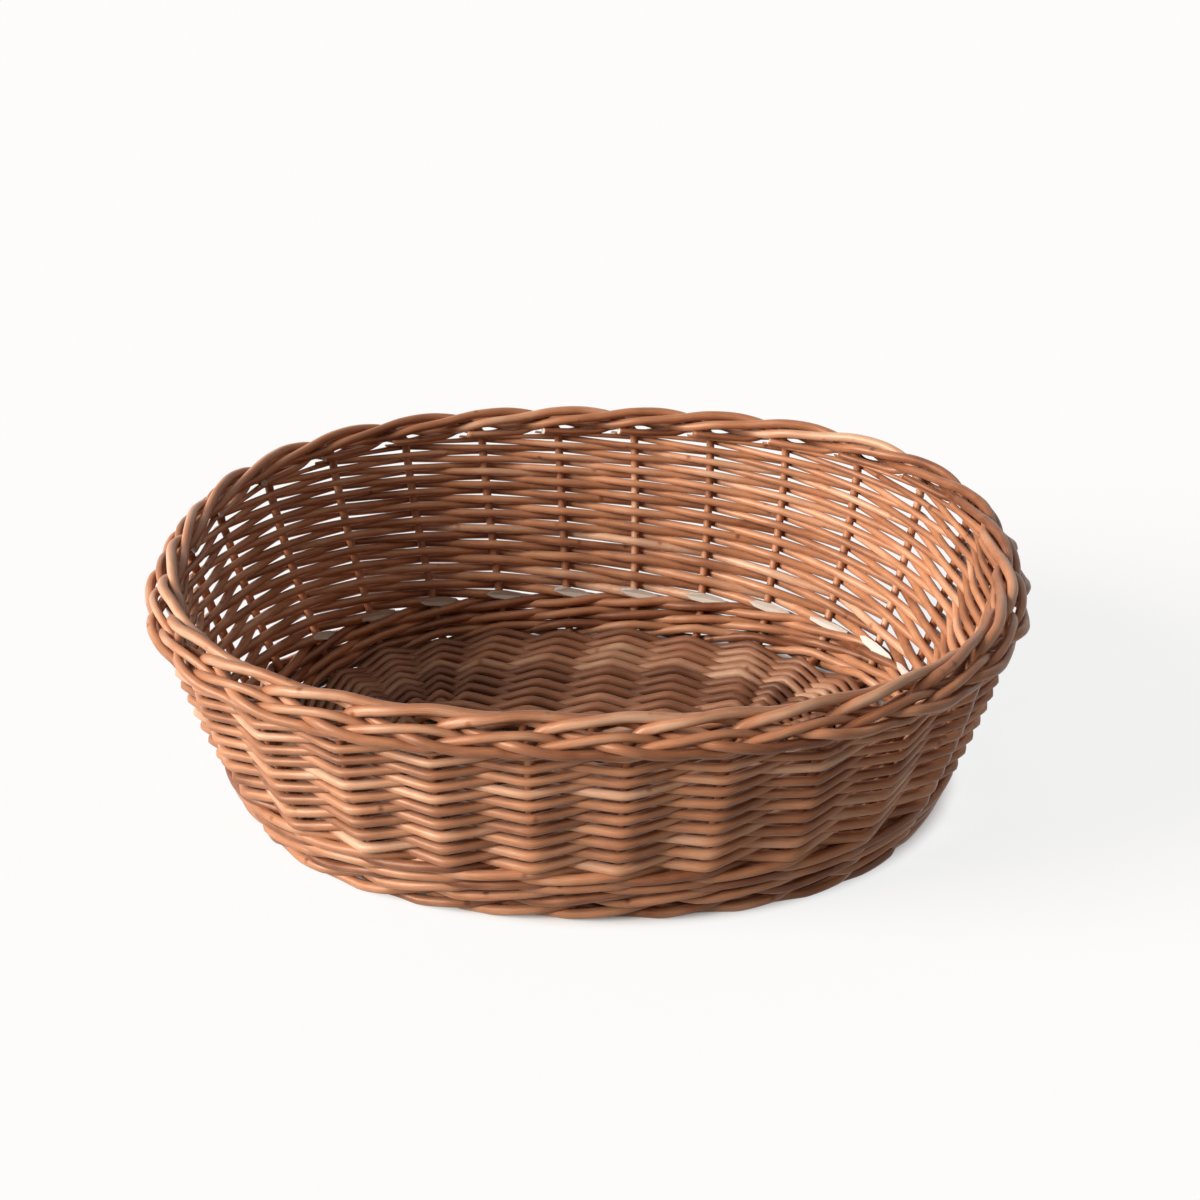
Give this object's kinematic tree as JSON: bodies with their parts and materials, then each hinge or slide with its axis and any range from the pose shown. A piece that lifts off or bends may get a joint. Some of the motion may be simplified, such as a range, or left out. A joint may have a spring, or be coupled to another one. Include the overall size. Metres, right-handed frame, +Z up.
{
  "type": "oval basket",
  "caption": "Open oval willow basket with flared randed sides, a waled foot, a fanned stick base and a rolled rod border, for holding loose things.",
  "frame": {"origin": "centre of the oval on the surface the basket stands on", "axes": "+Z up, +X along the long axis to the right seen from the front, -Y towards the front"},
  "size_m": [0.4491, 0.3993, 0.135],
  "materials": {
    "stake_willow": "buff willow rod, smooth peeled skin, slight sheen",
    "rand_willow": "buff willow rod, smooth peeled skin, slight sheen",
    "wale_willow": "buff willow rod, smooth peeled skin, slight sheen",
    "stick_willow": "buff willow stick, peeled, pale cut ends",
    "base_willow": "buff willow rod, smooth peeled skin, slight sheen"
  },
  "bodies": {
    "root": {"stake_01": "stake_willow", "stake_02": "stake_willow", "stake_03": "stake_willow", "stake_04": "stake_willow", "stake_05": "stake_willow", "stake_06": "stake_willow", "stake_07": "stake_willow", "stake_08": "stake_willow", "stake_09": "stake_willow", "stake_10": "stake_willow", "stake_11": "stake_willow", "stake_12": "stake_willow", "stake_13": "stake_willow", "stake_14": "stake_willow", "stake_15": "stake_willow", "stake_16": "stake_willow", "stake_17": "stake_willow", "stake_18": "stake_willow", "stake_19": "stake_willow", "stake_20": "stake_willow", "stake_21": "stake_willow", "stake_22": "stake_willow", "stake_23": "stake_willow", "stake_24": "stake_willow", "stake_25": "stake_willow", "stake_26": "stake_willow", "stake_27": "stake_willow", "stake_28": "stake_willow", "rand_rod_01": "rand_willow", "rand_rod_02": "rand_willow", "rand_rod_03": "rand_willow", "rand_rod_04": "rand_willow", "rand_rod_05": "rand_willow", "rand_rod_06": "rand_willow", "rand_rod_07": "rand_willow", "rand_rod_08": "rand_willow", "rand_rod_09": "rand_willow", "rand_rod_10": "rand_willow", "rand_rod_11": "rand_willow", "rand_rod_12": "rand_willow", "rand_rod_13": "rand_willow", "rand_rod_14": "rand_willow", "rand_rod_15": "rand_willow", "rand_rod_16": "rand_willow", "rand_rod_17": "rand_willow", "rand_rod_18": "rand_willow", "rand_rod_19": "rand_willow", "rand_rod_20": "rand_willow", "rand_rod_21": "rand_willow", "rand_rod_22": "rand_willow", "rand_rod_23": "rand_willow", "rand_rod_24": "rand_willow", "rand_rod_25": "rand_willow", "rand_rod_26": "rand_willow", "rand_rod_27": "rand_willow", "rand_rod_28": "rand_willow", "upsett_wale": "wale_willow", "base_sticks": "stick_willow", "base_rod_1": "base_willow", "base_rod_2": "base_willow"}
  },
  "joints": []
}
